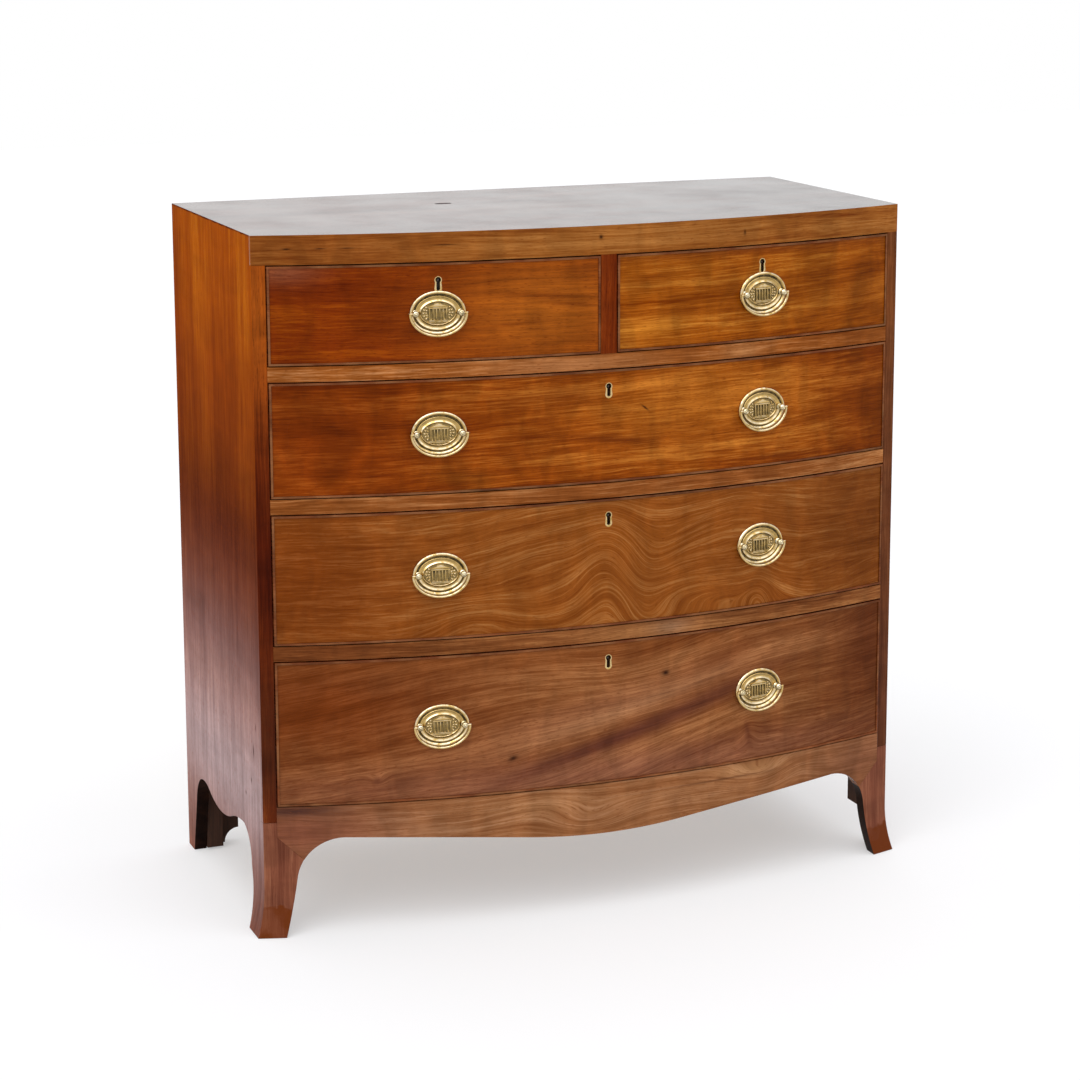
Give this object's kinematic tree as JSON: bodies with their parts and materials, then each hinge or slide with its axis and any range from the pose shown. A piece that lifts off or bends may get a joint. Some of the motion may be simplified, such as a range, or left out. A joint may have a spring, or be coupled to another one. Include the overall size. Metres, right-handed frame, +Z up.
{
  "type": "bow front chest of drawers",
  "caption": "Bow front chest of drawers in polished mahogany, with cock-beaded fronts, oval brass drop handles, a shaped apron and splayed bracket feet.",
  "frame": {"origin": "on the floor, under the middle of the overall width and depth", "axes": "+Z up, +X to the right of someone facing the drawers, the drawers face -Y and open towards it"},
  "size_m": [1.014, 0.5066, 1],
  "materials": {
    "mahogany": "French-polished mahogany",
    "oak": "planed oak, unfinished",
    "pine": "planed pine, unfinished, darkened by age",
    "brass": "polished",
    "iron": "filed and darkened"
  },
  "bodies": {
    "carcass": {"top_board": "mahogany", "side_left": "mahogany", "side_right": "mahogany", "frieze_rail": "mahogany", "divider_rail_1": "mahogany", "divider_rail_2": "mahogany", "divider_rail_3": "mahogany", "bottom_rail": "mahogany", "muntin": "mahogany", "back_boards": "pine", "bottom_board": "pine", "runners_and_stops": "pine", "apron": "mahogany", "front_feet": "mahogany", "back_brackets": "pine", "glue_blocks": "pine"},
    "drawer_1_left": {"drawer_1_left_front": "mahogany", "drawer_1_left_cockbead": "mahogany", "drawer_1_left_box": "oak", "drawer_1_left_bottom": "pine", "drawer_1_left_lock": "iron", "drawer_1_left_brasses": "brass"},
    "drawer_1_left_bail": {"drawer_1_left_bail": "brass"},
    "drawer_1_left_bolt": {"drawer_1_left_bolt": "iron"},
    "drawer_1_right": {"drawer_1_right_front": "mahogany", "drawer_1_right_cockbead": "mahogany", "drawer_1_right_box": "oak", "drawer_1_right_bottom": "pine", "drawer_1_right_lock": "iron", "drawer_1_right_brasses": "brass"},
    "drawer_1_right_bail": {"drawer_1_right_bail": "brass"},
    "drawer_1_right_bolt": {"drawer_1_right_bolt": "iron"},
    "drawer_2": {"drawer_2_front": "mahogany", "drawer_2_cockbead": "mahogany", "drawer_2_box": "oak", "drawer_2_bottom": "pine", "drawer_2_lock": "iron", "drawer_2_brasses": "brass"},
    "drawer_2_bail_left": {"drawer_2_bail_left": "brass"},
    "drawer_2_bail_right": {"drawer_2_bail_right": "brass"},
    "drawer_2_bolt": {"drawer_2_bolt": "iron"},
    "drawer_3": {"drawer_3_front": "mahogany", "drawer_3_cockbead": "mahogany", "drawer_3_box": "oak", "drawer_3_bottom": "pine", "drawer_3_lock": "iron", "drawer_3_brasses": "brass"},
    "drawer_3_bail_left": {"drawer_3_bail_left": "brass"},
    "drawer_3_bail_right": {"drawer_3_bail_right": "brass"},
    "drawer_3_bolt": {"drawer_3_bolt": "iron"},
    "drawer_4": {"drawer_4_front": "mahogany", "drawer_4_cockbead": "mahogany", "drawer_4_box": "oak", "drawer_4_bottom": "pine", "drawer_4_lock": "iron", "drawer_4_brasses": "brass"},
    "drawer_4_bail_left": {"drawer_4_bail_left": "brass"},
    "drawer_4_bail_right": {"drawer_4_bail_right": "brass"},
    "drawer_4_bolt": {"drawer_4_bolt": "iron"}
  },
  "joints": [
    {"name": "drawer_1_left_slide", "type": "slide", "parent": "carcass", "child": "drawer_1_left", "axis": [0, -1, 0], "range_m": [0, 0.33]},
    {"name": "drawer_1_left_bail_hinge", "type": "hinge", "parent": "drawer_1_left", "child": "drawer_1_left_bail", "pos_m": [-0.24799, -0.2401, 0.8885], "axis": [-0.9884, 0.1516, 0], "range_deg": [0, 175]},
    {"name": "drawer_1_left_bolt_slide", "type": "slide", "parent": "drawer_1_left", "child": "drawer_1_left_bolt", "axis": [0, 0, 1], "range_m": [0, 0.007]},
    {"name": "drawer_1_right_slide", "type": "slide", "parent": "carcass", "child": "drawer_1_right", "axis": [0, -1, 0], "range_m": [0, 0.33]},
    {"name": "drawer_1_right_bail_hinge", "type": "hinge", "parent": "drawer_1_right", "child": "drawer_1_right_bail", "pos_m": [0.24799, -0.2401, 0.8885], "axis": [-0.9884, -0.1516, 0], "range_deg": [0, 175]},
    {"name": "drawer_1_right_bolt_slide", "type": "slide", "parent": "drawer_1_right", "child": "drawer_1_right_bolt", "axis": [0, 0, 1], "range_m": [0, 0.007]},
    {"name": "drawer_2_slide", "type": "slide", "parent": "carcass", "child": "drawer_2", "axis": [0, -1, 0], "range_m": [0, 0.33]},
    {"name": "drawer_2_bail_left_hinge", "type": "hinge", "parent": "drawer_2", "child": "drawer_2_bail_left", "pos_m": [-0.24799, -0.2401, 0.72], "axis": [-0.9884, 0.1516, 0], "range_deg": [0, 175]},
    {"name": "drawer_2_bail_right_hinge", "type": "hinge", "parent": "drawer_2", "child": "drawer_2_bail_right", "pos_m": [0.24799, -0.2401, 0.72], "axis": [-0.9884, -0.1516, 0], "range_deg": [0, 175]},
    {"name": "drawer_2_bolt_slide", "type": "slide", "parent": "drawer_2", "child": "drawer_2_bolt", "axis": [0, 0, 1], "range_m": [0, 0.007]},
    {"name": "drawer_3_slide", "type": "slide", "parent": "carcass", "child": "drawer_3", "axis": [0, -1, 0], "range_m": [0, 0.33]},
    {"name": "drawer_3_bail_left_hinge", "type": "hinge", "parent": "drawer_3", "child": "drawer_3_bail_left", "pos_m": [-0.24799, -0.2401, 0.5195], "axis": [-0.9884, 0.1516, 0], "range_deg": [0, 175]},
    {"name": "drawer_3_bail_right_hinge", "type": "hinge", "parent": "drawer_3", "child": "drawer_3_bail_right", "pos_m": [0.24799, -0.2401, 0.5195], "axis": [-0.9884, -0.1516, 0], "range_deg": [0, 175]},
    {"name": "drawer_3_bolt_slide", "type": "slide", "parent": "drawer_3", "child": "drawer_3_bolt", "axis": [0, 0, 1], "range_m": [0, 0.007]},
    {"name": "drawer_4_slide", "type": "slide", "parent": "carcass", "child": "drawer_4", "axis": [0, -1, 0], "range_m": [0, 0.33]},
    {"name": "drawer_4_bail_left_hinge", "type": "hinge", "parent": "drawer_4", "child": "drawer_4_bail_left", "pos_m": [-0.24799, -0.2401, 0.3], "axis": [-0.9884, 0.1516, 0], "range_deg": [0, 175]},
    {"name": "drawer_4_bail_right_hinge", "type": "hinge", "parent": "drawer_4", "child": "drawer_4_bail_right", "pos_m": [0.24799, -0.2401, 0.3], "axis": [-0.9884, -0.1516, 0], "range_deg": [0, 175]},
    {"name": "drawer_4_bolt_slide", "type": "slide", "parent": "drawer_4", "child": "drawer_4_bolt", "axis": [0, 0, 1], "range_m": [0, 0.007]}
  ]
}
